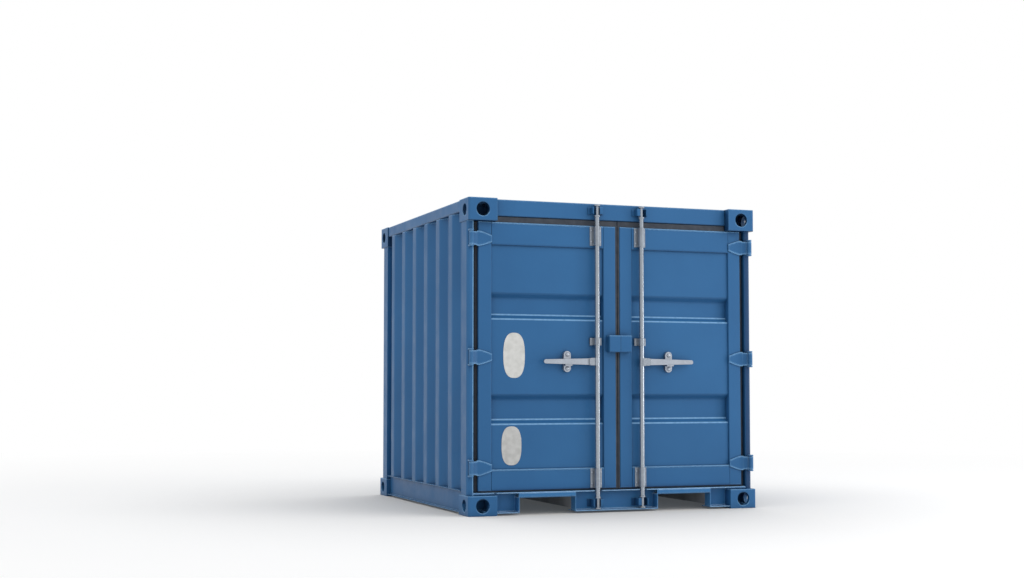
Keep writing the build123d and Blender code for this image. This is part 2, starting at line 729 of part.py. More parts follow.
def save_leaves(name, maker):
    """The piece of each door: the doors meet a little to the right of the middle."""
    save("left_" + name, maker(MEET_SHIFT))
    save("right_" + name, [flip(solid) for solid in maker(-MEET_SHIFT)])


os.makedirs("parts", exist_ok=True)
save("top_corner_castings", casting(CAST_TOP_Z, True))
save("bottom_corner_castings", casting(CAST_BASE_Z, False))
save_both("door_post", [door_post()])
save_both("back_post", [back_post()])
save("door_header", [door_header()])
save("door_sill", [door_sill()])
save("sill_end_caps", sill_end_caps())
save("back_top_rail", [back_top_rail()])
save("back_sill", [turned(sill(BASE_TOP, BEAM_FRONT, BEAM_FRONT))])
save_both("top_rail", [top_rail()])
save_both("bottom_rail", [bottom_rail()])
save_both("side_wall", [side_wall()])
save("back_wall", [back_wall()])
save("roof_panel", [roof()])
save("floor_boards", floor_boards())
save("floor_crossmembers", crossmembers())
save_both("fork_pocket", [fork_pocket()])
save_both("hinge_lugs", hinge_lugs())
save("cam_keepers", cam_keepers(MEET_SHIFT) + [flip(piece) for piece in cam_keepers(-MEET_SHIFT)])
save_leaves("door_stiles", door_stiles)
save_leaves("door_rails", door_rails)
save_leaves("door_panel", door_panel)
save_leaves("door_gasket", door_gasket)
save_both("hinge_blades", hinge_blades())
save_leaves("bar_brackets", bar_brackets)
save_leaves("handle_holder", handle_holder)
save_leaves("lock_box", lock_box)
save_leaves("lock_bar", lock_bar)
save_leaves("lock_handle", handle)
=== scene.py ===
"""Looks of the small shipping container: paint, zinc, rubber and plywood, rounded edges, bolts, screws,
weld beads, end caps of the back sill and two blank oval plates, with the camera, the light and a pale floor.

Metres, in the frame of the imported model.
"""
import json
import math

import bmesh
import bpy
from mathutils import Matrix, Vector


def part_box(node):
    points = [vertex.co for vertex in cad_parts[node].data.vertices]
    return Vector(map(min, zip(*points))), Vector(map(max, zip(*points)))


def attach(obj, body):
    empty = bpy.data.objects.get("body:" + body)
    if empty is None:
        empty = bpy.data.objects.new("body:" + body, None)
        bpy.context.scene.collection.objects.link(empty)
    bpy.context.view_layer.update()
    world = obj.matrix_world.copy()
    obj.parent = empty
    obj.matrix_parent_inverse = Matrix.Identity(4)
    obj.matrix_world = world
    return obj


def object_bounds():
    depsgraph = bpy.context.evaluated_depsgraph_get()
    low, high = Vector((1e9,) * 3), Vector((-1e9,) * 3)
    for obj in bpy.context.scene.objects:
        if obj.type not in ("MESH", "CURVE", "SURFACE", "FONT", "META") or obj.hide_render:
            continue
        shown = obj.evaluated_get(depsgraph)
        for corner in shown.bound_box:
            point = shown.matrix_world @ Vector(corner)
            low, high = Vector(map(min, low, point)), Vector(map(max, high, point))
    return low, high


# Camera
CAMERA_PLACE = (-3.801, -9.295, 0.764)
CAMERA_TURN = 20.490
CAMERA_TILT = 3.067
CAMERA_LENS = 51.502
CAMERA_RISE = 0.0205

# Light
SKY_LEFT = 0.76
SKY_RIGHT = 1.04
KEY_PLACE = (5.0, -6.0, 6.0)
KEY_SIZE = 6.0
KEY_POWER = 115
SIDE_PLACE = (6.0, -4.0, 1.0)
SIDE_SIZE = 1.8
SIDE_POWER = 60
AIM = (0.0, 0.0, 0.9)
FLOOR_HALF = 60.0
FLOOR_COLOUR = (0.94, 0.93, 0.92, 1)
# Painted shadow and light on the floor: its colour and glow drop near the container, by ambient occlusion
# within a reach
FLOOR_SHADE = (0.70, 0.67, 0.63, 1)
FLOOR_GLOW = (0.88, 1.00, 1.12, 1)
GLOW_DEEP = 0.055
GLOW_OPEN = 0.10
SHADE_REACH = 2.4
SHADE_DEEP = 0.45
SHADE_OPEN = 0.99
FADE_NEAR = 4.0
FADE_FAR = 9.0

# Paint, zinc, rubber, plywood and plates
PAINT = (0.027, 0.129, 0.304, 1)
PAINT_DEEP = (0.023, 0.113, 0.272, 1)
# Painted shade: a dark blue laid in hollows and on faces that look down
PAINT_SHADOW = (0.005, 0.030, 0.085, 1)
# Painted highlight: a light blue laid on edges, mostly on those that look up
PAINT_HIGHLIGHT = (0.220, 0.440, 0.700, 1)
# Painted highlight for the tops of the door sill
SILL_HIGHLIGHT = (0.450, 0.700, 0.950, 1)
# Lit copies of the paint for the door sill: lighter, as painted light
PAINT_LIT = (0.036, 0.165, 0.380, 1)
PAINT_LIT_DEEP = (0.031, 0.145, 0.340, 1)
# Painted shade for faces of the right door post that look forward
PAINT_SHADED = (0.011, 0.052, 0.140, 1)
SEAL = (0.280, 0.290, 0.310, 1)
SEAL_DARK = (0.190, 0.200, 0.215, 1)
ZINC = (0.43, 0.47, 0.53, 1)
# Dark zinc: for the spangles and stains, and as painted shade in hollows
ZINC_DARK = (0.30, 0.32, 0.36, 1)
BAR_ZINC = (0.35, 0.39, 0.44, 1)
# Dark zinc of the bars: for the stains, and as painted shade in hollows
BAR_DARK = (0.20, 0.22, 0.25, 1)
RUBBER = (0.023, 0.031, 0.046, 1)
RUBBER_DUSTY = (0.038, 0.046, 0.062, 1)
# Painted shade for the gasket at the hinge sides
RUBBER_SHADE = (0.008, 0.014, 0.026, 1)
PLY_LIGHT = (0.42, 0.27, 0.15, 1)
PLY_DARK = (0.26, 0.15, 0.08, 1)
ENAMEL = (0.62, 0.62, 0.60, 1)
ENAMEL_DULL = (0.53, 0.53, 0.51, 1)
ALLOY = (0.52, 0.52, 0.51, 1)
ALLOY_DULL = (0.43, 0.43, 0.42, 1)

# Painted highlights: on the inner edge of the left door post, on the front of the door sill
POST_FACE = 0.042
HIGHLIGHT_WIDE = 0.009
HIGHLIGHT_DEEP = 0.012
HIGHLIGHT_BLUR = 0.004
HIGHLIGHT_SILL = 0.030

# Painted highlights: near the tops of the door rails, and along the lower bends of the recessed bands of the
# doors
NEAR_RIM = 0.020
RIM_BLUR = 0.010
LOW_BAND_UP = 0.400
HIGH_BAND_DOWN = 0.590
BAND_SLOPE = 0.028
CREASE_HALF = 0.003
CREASE_BLUR = 0.003

# Where the rubber takes painted shade, across the doors
DARK_FROM = 0.870
DARK_TO = 0.885

# Rounded edges: what counts as long, sharp or smooth, the share that short edges get, and the widths
LONG_EDGE = 0.10
SHARP = math.radians(30)
SMOOTH = math.radians(42)
TUBE_SHORT_SHARE = 0.20
PLATE_SHORT_SHARE = 0.60
WELD_GAP = 0.00001
FLAT_ANGLE = math.radians(0.5)
HEAVY_ROUND = 0.005
TUBE_ROUND = 0.006
PLATE_ROUND = 0.0018
BOARD_ROUND = 0.002
BEND_ROUND = 0.010
BEND_LEAST = math.radians(12)
BEND_MOST = math.radians(60)

# Bolts through the feet of the bar brackets, and studs of the handle holders
BOLT_R = 0.0075
BOLT_TALL = 0.005
BOLT_INSET = 0.010
BOLT_ROWS = (0.025, 0.095)
BRACKET_FOOT = 0.004
STUD_R = 0.013
STUD_TALL = 0.009
STUD_INSET = 0.022
STUD_STAND = 0.024
DOME_STEPS = 4
DOME_SIDES = 12
DOME_RIM = 0.25
DOME_CROWN = 0.1

# Floor screws
SCREW_R = 0.006
SCREW_TALL = 0.0006
SCREW_INSET = 0.035
SCREW_ROWS = 5
SCREW_ROW_IN = 0.022
BOARDS = 4

# Weld beads
BEAD_R = 0.0035
BEAD_STEP = 0.006
BEAD_SIDES = 7
BEAD_SWELL = 0.82
BEAD_TRIM = 0.020

# End caps of the back sill
CAP_SETBACK = 0.050
CAP_DEEP = 0.055

# Blank oval plates: middle x and z, width and height; the rim as (share of the size, share of the thickness)
UPPER_PLATE = (-0.661, 0.966, 0.140, 0.276)
LOWER_PLATE = (-0.678, 0.416, 0.129, 0.236)
PLATE_THICK = 0.0015
PLATE_SIDES = 64
PLATE_POWER = 2.6
PLATE_RIM = ((1.0, 0.0), (1.0, 0.8), (0.985, 1.0), (0.95, 1.0), (0.935, 0.75), (0.92, 0.7), (0.45, 0.72))

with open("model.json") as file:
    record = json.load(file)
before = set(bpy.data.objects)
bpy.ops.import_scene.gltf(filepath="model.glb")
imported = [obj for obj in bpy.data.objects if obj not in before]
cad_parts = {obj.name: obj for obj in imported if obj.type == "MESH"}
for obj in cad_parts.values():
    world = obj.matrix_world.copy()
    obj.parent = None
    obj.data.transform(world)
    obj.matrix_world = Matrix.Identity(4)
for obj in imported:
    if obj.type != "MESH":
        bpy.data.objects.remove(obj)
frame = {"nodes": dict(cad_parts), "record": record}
nodes = frame["nodes"]
cad_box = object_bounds()


# Materials
class Shader:
    """A material built node by node."""

    def __init__(self, name):
        self.material = bpy.data.materials.new(name)
        self.material.use_nodes = True
        self.tree = self.material.node_tree
        self.surface = self.tree.nodes["Principled BSDF"]
        self.coordinates = self.add("ShaderNodeTexCoord")
        self.place = self.coordinates.outputs["Object"]

    def add(self, kind, **settings):
        node = self.tree.nodes.new(kind)
        for key, value in settings.items():
            setattr(node, key, value)
        return node

    def link(self, source, target):
        self.tree.links.new(source, target)

    def noise(self, scale, detail=3.0, stretch=(1, 1, 1)):
        """Noise that sticks to the object."""
        mapping = self.add("ShaderNodeMapping")
        mapping.inputs["Scale"].default_value = stretch
        texture = self.add("ShaderNodeTexNoise")
        texture.inputs["Scale"].default_value = scale
        texture.inputs["Detail"].default_value = detail
        self.link(self.place, mapping.inputs["Vector"])
        self.link(mapping.outputs["Vector"], texture.inputs["Vector"])
        return texture.outputs["Fac"]

    def spread(self, value, low, high, to_low=0.0, to_high=1.0):
        """A value stretched from one range to another."""
        node = self.add("ShaderNodeMapRange")
        node.inputs["From Min"].default_value = low
        node.inputs["From Max"].default_value = high
        node.inputs["To Min"].default_value = to_low
        node.inputs["To Max"].default_value = to_high
        self.link(value, node.inputs["Value"])
        return node.outputs["Result"]

    def times(self, first, second):
        node = self.add("ShaderNodeMath", operation="MULTIPLY")
        self.link(first, node.inputs[0])
        if isinstance(second, (int, float)):
            node.inputs[1].default_value = second
        else:
            self.link(second, node.inputs[1])
        return node.outputs["Value"]

    def at_least(self, value, least):
        node = self.add("ShaderNodeMath", operation="MAXIMUM")
        self.link(value, node.inputs[0])
        if isinstance(least, (int, float)):
            node.inputs[1].default_value = least
        else:
            self.link(least, node.inputs[1])
        return node.outputs["Value"]

    def mix(self, share, first, second):
        """Two colours mixed; each is a colour or the output of a node."""
        node = self.add("ShaderNodeMix", data_type="RGBA")
        self.link(share, node.inputs["Factor"])
        for socket, colour in ((node.inputs[6], first), (node.inputs[7], second)):
            if isinstance(colour, tuple):
                socket.default_value = colour
            else:
                self.link(colour, socket)
        return node.outputs[2]

    def axis(self, kind, letter):
        """One part of the place or of the normal, in the object's own frame."""
        axes = self.add("ShaderNodeSeparateXYZ")
        self.link(self.coordinates.outputs[kind], axes.inputs["Vector"])
        return axes.outputs[letter]

    def edges(self, radius):
        """Masks: 1 along sharp edges, and how far they look up and down."""
        rounded = self.add("ShaderNodeBevel", samples=4)
        rounded.inputs["Radius"].default_value = radius
        flat = self.add("ShaderNodeNewGeometry")
        across = self.add("ShaderNodeVectorMath", operation="DOT_PRODUCT")
        self.link(rounded.outputs["Normal"], across.inputs[0])
        self.link(flat.outputs["True Normal"], across.inputs[1])
        axes = self.add("ShaderNodeSeparateXYZ")
        self.link(rounded.outputs["Normal"], axes.inputs["Vector"])
        upward = self.spread(axes.outputs["Z"], 0.08, 0.35)
        downward = self.spread(axes.outputs["Z"], -0.08, -0.35)
        return self.spread(across.outputs["Value"], 0.997, 0.93), upward, downward

    def near_heights(self, heights, half, blur):
        """1 within half a width of any of the heights, 0 away from them."""
        z = self.axis("Object", "Z")
        bands = []
        for height in heights:
            low = self.spread(z, height - half - blur, height - half)
            high = self.spread(z, height + half + blur, height + half)
            bands.append(self.times(low, high))
        together = bands[0]
        for band in bands[1:]:
            together = self.at_least(together, band)
        return together

    def hollows(self, reach, open_air, closed):
        """1 in corners and hollows, 0 in the open."""
        node = self.add("ShaderNodeAmbientOcclusion", samples=8)
        node.inputs["Distance"].default_value = reach
        return self.spread(node.outputs["AO"], open_air, closed)

    def bump(self, height, strength, distance, under=None):
        node = self.add("ShaderNodeBump")
        node.inputs["Strength"].default_value = strength
        node.inputs["Distance"].default_value = distance
        self.link(height, node.inputs["Height"])
        if under is not None:
            self.link(under, node.inputs["Normal"])
        return node.outputs["Normal"]

    def finish(self, colour, roughness, normal):
        self.link(colour, self.surface.inputs["Base Color"])
        self.link(roughness, self.surface.inputs["Roughness"])
        self.link(normal, self.surface.inputs["Normal"])
        return self.material


def painted_highlight_tops(back):
    """Painted highlight on faces that look up, forward of a depth."""
    def mask(s):
        ahead = s.spread(s.axis("Object", "Y"), back, back - HIGHLIGHT_BLUR)
        return s.times(s.spread(s.axis("Normal", "Z"), 0.6, 0.9), ahead)
    return mask


def painted_highlight_corner(x, y):
    """Painted highlight along an upright edge of the left post."""
    def mask(s):
        near_x = s.spread(s.axis("Object", "X"), x - HIGHLIGHT_WIDE, x - HIGHLIGHT_WIDE + HIGHLIGHT_BLUR)
        near_y = s.spread(s.axis("Object", "Y"), y + HIGHLIGHT_DEEP, y + HIGHLIGHT_DEEP - HIGHLIGHT_BLUR)
        return s.times(near_x, near_y)
    return mask


def painted_highlight_creases(heights):
    """Painted highlight lines along the bends of a sheet, on its outer face."""
    def mask(s):
        outer = s.spread(s.axis("Normal", "Y"), -0.3, -0.5)
        return s.times(outer, s.near_heights(heights, CREASE_HALF, CREASE_BLUR))
    return mask


def highlighted_edges(s, edge, upward, downward, side, lower, heights):
    """Painted highlight on edges that look up, and in part on the others."""
    mask = s.at_least(upward, side)
    if lower:
        mask = s.at_least(mask, s.times(downward, lower))
    mask = s.times(edge, mask)
    if heights:
        mask = s.times(mask, s.near_heights(heights, NEAR_RIM, RIM_BLUR))
    return mask


def blue_paint(name, side=0.05, under=0.8, lower=0.0, radius=0.010, reach=0.06, hollow_shade=0.5, closed=0.25,
               highlight=0.9, more_highlight=None, highlight_only=False, heights=(), dark_front=False,
               colours=(PAINT, PAINT_DEEP, PAINT_HIGHLIGHT)):
    """Paint with painted shade in hollows and under things, and painted highlights on edges.

    Side, lower: share of painted highlight on edges that look sideways and down.  Under: painted shade on
    faces that look down.
    Heights: the only heights with highlighted edges.  A further mask: other places with painted highlight,
    or, with its flag, the only ones.
    Dark front: painted shade on faces that look forward.  Colours: two tones of paint, and the painted
    highlight.
    """
    s = Shader(name)
    patches = s.spread(s.noise(1.7, 4), 0.35, 0.65)
    streaks = s.spread(s.noise(5.0, 3, (1, 1, 0.12)), 0.45, 0.75)
    base = s.mix(patches, colours[0], colours[1])
    base = s.mix(s.times(streaks, 0.25), base, colours[1])
    # Painted shade: darker paint in hollows, by ambient occlusion, and on faces that look down
    if hollow_shade:
        base = s.mix(s.times(s.hollows(reach, 0.90, closed), hollow_shade), base, PAINT_SHADOW)
    edge, upward, downward = s.edges(radius)
    if under:
        base = s.mix(s.times(downward, under), base, PAINT_SHADOW)
    # Painted shade on faces that look forward
    if dark_front:
        base = s.mix(s.spread(s.axis("Normal", "Y"), -0.60, -0.90), base, PAINT_SHADED)
    if highlight_only:
        mask = more_highlight(s)
    else:
        mask = highlighted_edges(s, edge, upward, downward, side, lower, heights)
        if more_highlight:
            mask = s.at_least(mask, more_highlight(s))
    # Painted highlight: the highlight colour laid over the mask, a little uneven
    highlight_share = s.times(mask, s.spread(s.noise(38, 3), 0.30, 0.60, 0.65 * highlight, highlight))
    colour = s.mix(highlight_share, base, colours[2])
    rough = s.spread(s.noise(9, 4), 0.3, 0.7, 0.36, 0.48)
    waves = s.bump(s.noise(4.5, 1), 0.10, 0.004)
    peel = s.bump(s.noise(420, 2), 0.10, 0.0004, waves)
    s.surface.inputs["Specular IOR Level"].default_value = 0.22
    return s.finish(colour, rough, peel)


def underseal():
    s = Shader("underseal")
    patches = s.spread(s.noise(6, 4), 0.35, 0.65)
    colour = s.mix(patches, SEAL, SEAL_DARK)
    rough = s.spread(s.noise(30, 3), 0.3, 0.7, 0.65, 0.85)
    lumps = s.bump(s.noise(90, 4), 0.30, 0.001)
    return s.finish(colour, rough, lumps)


def galvanised(name, light, dark, smooth, spangled=0.35):
    """Zinc with small spangles and stains, and painted shade in its hollows; the smooth value is its lowest
    roughness.
    """
    s = Shader(name)
    flakes = s.add("ShaderNodeTexVoronoi", feature="F1")
    flakes.inputs["Scale"].default_value = 130
    s.link(s.place, flakes.inputs["Vector"])
    spangle = s.spread(flakes.outputs["Color"], 0.0, 1.0)
    stain = s.spread(s.noise(16, 4), 0.42, 0.72)
    base = s.mix(s.times(spangle, spangled), light, dark)
    base = s.mix(s.times(stain, spangled), base, dark)
    # Painted shade: the dark zinc laid in hollows, by ambient occlusion
    colour = s.mix(s.times(s.hollows(0.03, 0.85, 0.25), 0.6), base, dark)
    rough = s.spread(s.noise(60, 3), 0.3, 0.7, smooth, smooth + 0.4 * spangled)
    grain = s.bump(s.noise(300, 3), 0.4 * spangled, 0.0004)
    s.surface.inputs["Metallic"].default_value = 0.85
    return s.finish(colour, rough, grain)


def gasket_rubber():
    s = Shader("gasket_rubber")
    dust = s.spread(s.noise(22, 4), 0.40, 0.70)
    across = s.add("ShaderNodeMath", operation="ABSOLUTE")
    s.link(s.axis("Object", "X"), across.inputs[0])
    outer = s.spread(across.outputs["Value"], DARK_FROM, DARK_TO)
    # Painted shade: the gasket darker beyond these, across the doors, at the hinge sides
    colour = s.mix(outer, s.mix(dust, RUBBER, RUBBER_DUSTY), RUBBER_SHADE)
    rough = s.spread(s.noise(40, 3), 0.3, 0.7, 0.62, 0.80)
    skin = s.bump(s.noise(500, 3), 0.25, 0.0004)
    return s.finish(colour, rough, skin)


def floor_plywood():
    s = Shader("floor_plywood")
    grain = s.spread(s.noise(14, 6, (6, 0.5, 6)), 0.35, 0.65)
    pores = s.noise(160, 3, (6, 0.4, 6))
    tread = s.spread(s.noise(2.6, 4), 0.45, 0.75)
    base = s.mix(grain, PLY_LIGHT, PLY_DARK)
    colour = s.mix(s.times(tread, 0.45), base, PLY_DARK)
    rough = s.spread(tread, 0, 1, 0.50, 0.68)
    lines = s.bump(pores, 0.25, 0.0008)
    return s.finish(colour, rough, lines)


def plate_finish(name, light, dull, metallic):
    s = Shader(name)
    cloud = s.spread(s.noise(26, 4), 0.38, 0.66)
    colour = s.mix(cloud, light, dull)
    rough = s.spread(s.noise(70, 3), 0.3, 0.7, 0.32, 0.48)
    skin = s.bump(s.noise(260, 2), 0.08, 0.0004)
    s.surface.inputs["Metallic"].default_value = metallic
    return s.finish(colour, rough, skin)


finishes = {
    # Default paint: painted shade in hollows and on faces that look down, painted highlight on edges that
    # look up
    "blue_paint": blue_paint("blue_paint"),
    "underseal": underseal(),
    "galvanised_steel": galvanised("galvanised_steel", ZINC, ZINC_DARK, 0.30),
    "gasket_rubber": gasket_rubber(),
    "floor_plywood": floor_plywood(),
}
post_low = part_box("left_door_post")[0]
sill_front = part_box("door_sill")[0].y
door_foot, door_head = (corner.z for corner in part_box("left_door_rails"))
rail_tops = (door_head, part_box("left_door_panel")[0].z)
low_bend, high_bend = door_foot + LOW_BAND_UP, door_head - HIGH_BAND_DOWN
bends = (low_bend, low_bend + BAND_SLOPE, high_bend, high_bend + BAND_SLOPE)
own_finishes = {
    # Hinge blades: painted highlight on their upper and lower edges, in part on the others
    "hinge_blades": blue_paint("hinge_paint", side=0.25, under=0.0, lower=1.0, radius=0.018, reach=0.03),
    # Hinge lugs: painted highlight in part on every edge, painted shade in hollows and on faces that look
    # down
    "hinge_lugs": blue_paint("lug_paint", side=0.3, under=0.3),
    # Left post: painted highlight along the inner edge of its front
    "left_door_post": blue_paint("left_post_paint", more_highlight=painted_highlight_corner(post_low.x + POST_FACE, post_low.y)),
    # Right post: painted shade on its front, little highlight
    "right_door_post": blue_paint("right_post_paint", highlight=0.1, dark_front=True),
    # Top castings: strong painted shade in their holes and hollows
    "top_corner_castings": blue_paint("casting_paint", side=0.15, reach=0.20, hollow_shade=0.97, closed=0.5),
    # Back sill: faint painted shade in its hollows
    "back_sill": blue_paint("back_sill_paint", reach=0.04, hollow_shade=0.15),
    # Door sill: a lit copy of the paint, painted light, with painted highlight on its tops near the front
    "sill": blue_paint(
        "sill_paint", side=0.10, radius=0.014, hollow_shade=0.0, more_highlight=painted_highlight_tops(sill_front + HIGHLIGHT_SILL),
        colours=(PAINT_LIT, PAINT_LIT_DEEP, SILL_HIGHLIGHT)),
    # Walls: painted shade in the hollows of the corrugation, over a wider reach
    "wall": blue_paint("wall_paint", reach=0.12, hollow_shade=0.6),
    # Door panels: painted highlight only along the bends of the bands, painted shade on faces that look down
    "door_panel": blue_paint("panel_paint", under=0.3, highlight=0.8, more_highlight=painted_highlight_creases(bends), highlight_only=True),
    # Door rails: painted highlight on edges near their tops
    "door_rails": blue_paint("rail_paint", side=0.0, radius=0.018, highlight=1.3, heights=rail_tops),
    # Cam keepers: strong painted shade in hollows, faint painted highlight
    "cam_keepers": blue_paint("keeper_paint", highlight=0.2, reach=0.10, hollow_shade=0.8),
    "lock_bar": galvanised("bar_zinc", BAR_ZINC, BAR_DARK, 0.24, 0.06),
    "bar_brackets": galvanised("bracket_zinc", BAR_ZINC, BAR_DARK, 0.30),
}
enamel = plate_finish("white_enamel", ENAMEL, ENAMEL_DULL, 0.0)
alloy = plate_finish("bare_alloy", ALLOY, ALLOY_DULL, 0.45)
slots = {part["node"]: part["material_slot"] for part in frame["record"]["subparts"]}
for name, node in nodes.items():
    own = [finish for word, finish in own_finishes.items() if word in name]
    node.data.materials.clear()
    node.data.materials.append(own[0] if own else finishes[slots[name]])


# Rounded edges on the steel and the boards, left to modifiers
def node_group(name):
    group = bpy.data.node_groups.new(name, "GeometryNodeTree")
    group.interface.new_socket("Geometry", in_out="INPUT", socket_type="NodeSocketGeometry")
    group.interface.new_socket("Geometry", in_out="OUTPUT", socket_type="NodeSocketGeometry")
    return group, group.nodes.new("NodeGroupInput"), group.nodes.new("NodeGroupOutput")


def compare(group, value, operation, limit):
    node = group.nodes.new("ShaderNodeMath")
    node.operation = operation
    group.links.new(value, node.inputs[0])
    node.inputs[1].default_value = limit
    return node.outputs["Value"]


def product(group, first, second):
    node = group.nodes.new("ShaderNodeMath")
    node.operation = "MULTIPLY"
    group.links.new(first, node.inputs[0])
    group.links.new(second, node.inputs[1])
    return node.outputs["Value"]


def marked_edges(name, short_share):
    """Weights for the bevel: 1 on long outer edges, a share on short ones."""
    group, start, end = node_group(name)
    angle = group.nodes.new("GeometryNodeInputMeshEdgeAngle")
    ends = group.nodes.new("GeometryNodeInputMeshEdgeVertices")
    length = group.nodes.new("ShaderNodeVectorMath")
    length.operation = "DISTANCE"
    group.links.new(ends.outputs["Position 1"], length.inputs[0])
    group.links.new(ends.outputs["Position 2"], length.inputs[1])
    outer = compare(group, angle.outputs["Signed Angle"], "GREATER_THAN", SHARP)
    long_edge = compare(group, length.outputs["Value"], "GREATER_THAN", LONG_EDGE)
    weight = compare(group, long_edge, "MAXIMUM", short_share)
    return stored(group, start, end, product(group, outer, weight))


def marked_bends(name):
    """Weights for the bevel of a folded sheet: its bends and not its ends."""
    group, start, end = node_group(name)
    angle = group.nodes.new("GeometryNodeInputMeshEdgeAngle")
    least = compare(group, angle.outputs["Unsigned Angle"], "GREATER_THAN", BEND_LEAST)
    most = compare(group, angle.outputs["Unsigned Angle"], "LESS_THAN", BEND_MOST)
    return stored(group, start, end, product(group, least, most))


def stored(group, start, end, weight):
    store = group.nodes.new("GeometryNodeStoreNamedAttribute")
    store.data_type = "FLOAT"
    store.domain = "EDGE"
    store.inputs["Name"].default_value = "bevel_weight_edge"
    group.links.new(start.outputs["Geometry"], store.inputs["Geometry"])
    group.links.new(weight, store.inputs["Value"])
    group.links.new(store.outputs["Geometry"], end.inputs["Geometry"])
    return group


def smoothed(name):
    """Smooth shading, broken at sharp edges."""
    group, start, end = node_group(name)
    plain = group.nodes.new("GeometryNodeRemoveAttribute")
    plain.inputs["Name"].default_value = "custom_normal"
    angle = group.nodes.new("GeometryNodeInputMeshEdgeAngle")
    sharp = compare(group, angle.outputs["Unsigned Angle"], "GREATER_THAN", SMOOTH)
    faces = group.nodes.new("GeometryNodeSetShadeSmooth")
    faces.domain = "FACE"
    edges = group.nodes.new("GeometryNodeSetShadeSmooth")
    edges.domain = "EDGE"
    edges.inputs["Shade Smooth"].default_value = False
    group.links.new(start.outputs["Geometry"], plain.inputs["Geometry"])
    group.links.new(plain.outputs["Geometry"], faces.inputs["Geometry"])
    group.links.new(faces.outputs["Geometry"], edges.inputs["Geometry"])
    group.links.new(sharp, edges.inputs["Selection"])
    group.links.new(edges.outputs["Geometry"], end.inputs["Geometry"])
    return group


tube_edges = marked_edges("tube_edges", TUBE_SHORT_SHARE)
plate_edges = marked_edges("plate_edges", PLATE_SHORT_SHARE)
sheet_bends = marked_bends("sheet_bends")
smooth_shade = smoothed("smooth_shade")


def rounded(node, marks, width, segments=3):
    """Rounds a node's edges without changing its mesh."""
    weld = node.modifiers.new("joined", "WELD")
    weld.merge_threshold = WELD_GAP
    flat = node.modifiers.new("flat_faces", "DECIMATE")
    flat.decimate_type = "DISSOLVE"
    flat.angle_limit = FLAT_ANGLE
    node.modifiers.new("marks", "NODES").node_group = marks
    bevel = node.modifiers.new("rounded", "BEVEL")
    bevel.limit_method = "WEIGHT"
    bevel.width = width
    bevel.segments = segments
    bevel.use_clamp_overlap = True
    node.modifiers.new("shading", "NODES").node_group = smooth_shade
    normals = node.modifiers.new("normals", "WEIGHTED_NORMAL")
    normals.keep_sharp = True


SHEETS = ("side_wall", "back_wall", "roof_panel", "door_panel")
HEAVY = ("castings",)
TUBES = ("post", "header", "sill", "rail", "stiles", "crossmembers", "fork_pocket")
for name, node in nodes.items():
    if any(word in name for word in SHEETS):
        rounded(node, sheet_bends, BEND_ROUND)
    elif any(word in name for word in HEAVY):
        rounded(node, tube_edges, HEAVY_ROUND)
    elif any(word in name for word in TUBES):
        rounded(node, tube_edges, TUBE_ROUND)
    elif name == "floor_boards":
        rounded(node, plate_edges, BOARD_ROUND, 2)
    else:
        rounded(node, plate_edges, PLATE_ROUND, 2)


# Small pieces, each kind on a body joined in one mesh
def new_piece(name, mesh, body, material):
    mesh.normal_update()
    data = bpy.data.meshes.new(name)
    mesh.to_mesh(data)
    mesh.free()
    piece = bpy.data.objects.new(name, data)
    bpy.context.scene.collection.objects.link(piece)
    data.materials.append(material)
    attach(piece, body)
    return piece


def turned_profile(mesh, profile, place, axis, sides):
    """A profile of (radius, height) points spun round an axis."""
    turn = Vector((0, 0, 1)).rotation_difference(Vector(axis)).to_matrix()
    rings = []
    for radius, height in profile:
        ring = []
        for i in range(sides):
            a = 2 * math.pi * i / sides
            point = turn @ Vector((radius * math.cos(a), radius * math.sin(a), height))
            ring.append(mesh.verts.new(Vector(place) + point))
        rings.append(ring)
    for low, high in zip(rings, rings[1:]):
        for i in range(sides):
            j = (i + 1) % sides
            face = mesh.faces.new((low[i], low[j], high[j], high[i]))
            face.smooth = True
    mesh.faces.new(rings[-1])


def dome(radius, tall):
    """The side of a domed head."""
    points = [(radius, 0)]
    for i in range(DOME_STEPS):
        a = math.pi / 2 * i / DOME_STEPS
        points.append((radius * math.cos(a), tall * (DOME_RIM + (1 - DOME_RIM) * math.sin(a))))
    return points + [(radius * DOME_CROWN, tall)]


def domes(name, places, axis, body, material, radius=BOLT_R, tall=BOLT_TALL):
    mesh = bmesh.new()
    for place in places:
        turned_profile(mesh, dome(radius, tall), place, axis, DOME_SIDES)
    return new_piece(name, mesh, body, material)


def bead(mesh, start, end, radius=BEAD_R):
    """A weld bead with ripples along it."""
    start, end = Vector(start), Vector(end)
    along = (end - start).normalized()
    turn = Vector((0, 0, 1)).rotation_difference(along).to_matrix()
    count = max(2, int((end - start).length / BEAD_STEP))
    rings = []
    for k in range(count * 2 + 1):
        swell = radius * (1.0 if k % 2 else BEAD_SWELL)
        centre = start.lerp(end, k / (count * 2))
        ring = []
        for i in range(BEAD_SIDES):
            a = 2 * math.pi * i / BEAD_SIDES
            point = Vector((swell * math.cos(a), swell * math.sin(a), 0))
            ring.append(mesh.verts.new(centre + turn @ point))
        rings.append(ring)
    for low, high in zip(rings, rings[1:]):
        for i in range(BEAD_SIDES):
            j = (i + 1) % BEAD_SIDES
            mesh.faces.new((low[i], low[j], high[j], high[i])).smooth = True
    mesh.faces.new(list(reversed(rings[0])))
    mesh.faces.new(rings[-1])


